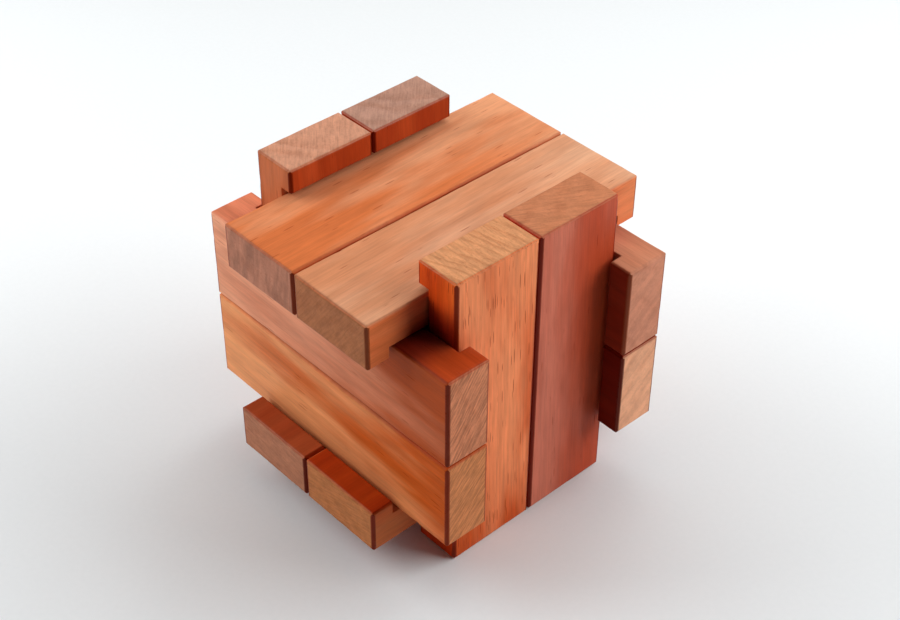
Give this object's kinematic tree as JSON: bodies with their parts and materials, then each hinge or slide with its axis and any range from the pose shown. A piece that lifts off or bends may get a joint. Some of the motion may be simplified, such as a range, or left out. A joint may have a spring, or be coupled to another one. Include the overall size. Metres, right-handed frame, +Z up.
{
  "type": "wooden burr puzzle",
  "caption": "Interlocking hardwood burr puzzle: flat notched sticks in side-by-side pairs round a hollow cube, ends standing out, one key stick that draws out.",
  "frame": {"origin": "on the floor, under the middle of the puzzle", "axes": "+Z up along the uprights, +X to the right along the front pair, -Y to the front, the way the key draws out"},
  "size_m": [0.067, 0.067, 0.067],
  "materials": {
    "key_wood": "satin",
    "top_right_wood": "satin",
    "bottom_left_wood": "satin",
    "bottom_right_wood": "satin",
    "front_upper_wood": "satin",
    "front_lower_wood": "satin",
    "back_upper_wood": "satin",
    "back_lower_wood": "satin",
    "right_front_upright_wood": "satin",
    "right_back_upright_wood": "satin",
    "left_front_upright_wood": "satin",
    "left_back_upright_wood": "satin"
  },
  "bodies": {
    "key_stick": {"key_stick": "key_wood"},
    "top_right_stick": {"top_right_stick": "top_right_wood"},
    "bottom_left_stick": {"bottom_left_stick": "bottom_left_wood"},
    "bottom_right_stick": {"bottom_right_stick": "bottom_right_wood"},
    "front_upper_stick": {"front_upper_stick": "front_upper_wood"},
    "front_lower_stick": {"front_lower_stick": "front_lower_wood"},
    "back_upper_stick": {"back_upper_stick": "back_upper_wood"},
    "back_lower_stick": {"back_lower_stick": "back_lower_wood"},
    "right_front_upright": {"right_front_upright": "right_front_upright_wood"},
    "right_back_upright": {"right_back_upright": "right_back_upright_wood"},
    "left_front_upright": {"left_front_upright": "left_front_upright_wood"},
    "left_back_upright": {"left_back_upright": "left_back_upright_wood"}
  },
  "joints": [
    {"name": "key_draw", "type": "slide", "parent": "left_back_upright", "child": "key_stick", "axis": [0, -1, 0], "range_m": [0, 0.07]},
    {"name": "top_right_play", "type": "slide", "parent": "left_back_upright", "child": "top_right_stick", "axis": [0, 1, 0], "range_m": [-0.0003, 0.0003]},
    {"name": "bottom_left_play", "type": "slide", "parent": "left_back_upright", "child": "bottom_left_stick", "axis": [0, 1, 0], "range_m": [-0.0003, 0.0003]},
    {"name": "bottom_right_play", "type": "slide", "parent": "left_back_upright", "child": "bottom_right_stick", "axis": [0, 1, 0], "range_m": [-0.0003, 0.0003]},
    {"name": "front_upper_play", "type": "slide", "parent": "left_back_upright", "child": "front_upper_stick", "axis": [1, 0, 0], "range_m": [-0.0003, 0.0003]},
    {"name": "front_lower_play", "type": "slide", "parent": "left_back_upright", "child": "front_lower_stick", "axis": [1, 0, 0], "range_m": [-0.0003, 0.0003]},
    {"name": "back_upper_play", "type": "slide", "parent": "left_back_upright", "child": "back_upper_stick", "axis": [1, 0, 0], "range_m": [-0.0003, 0.0003]},
    {"name": "back_lower_play", "type": "slide", "parent": "left_back_upright", "child": "back_lower_stick", "axis": [1, 0, 0], "range_m": [-0.0003, 0.0003]},
    {"name": "right_front_upright_play", "type": "slide", "parent": "left_back_upright", "child": "right_front_upright", "axis": [0, 0, 1], "range_m": [-0.0003, 0.0003]},
    {"name": "right_back_upright_play", "type": "slide", "parent": "left_back_upright", "child": "right_back_upright", "axis": [0, 0, 1], "range_m": [-0.0003, 0.0003]},
    {"name": "left_front_upright_play", "type": "slide", "parent": "left_back_upright", "child": "left_front_upright", "axis": [0, 0, 1], "range_m": [-0.0003, 0.0003]}
  ]
}
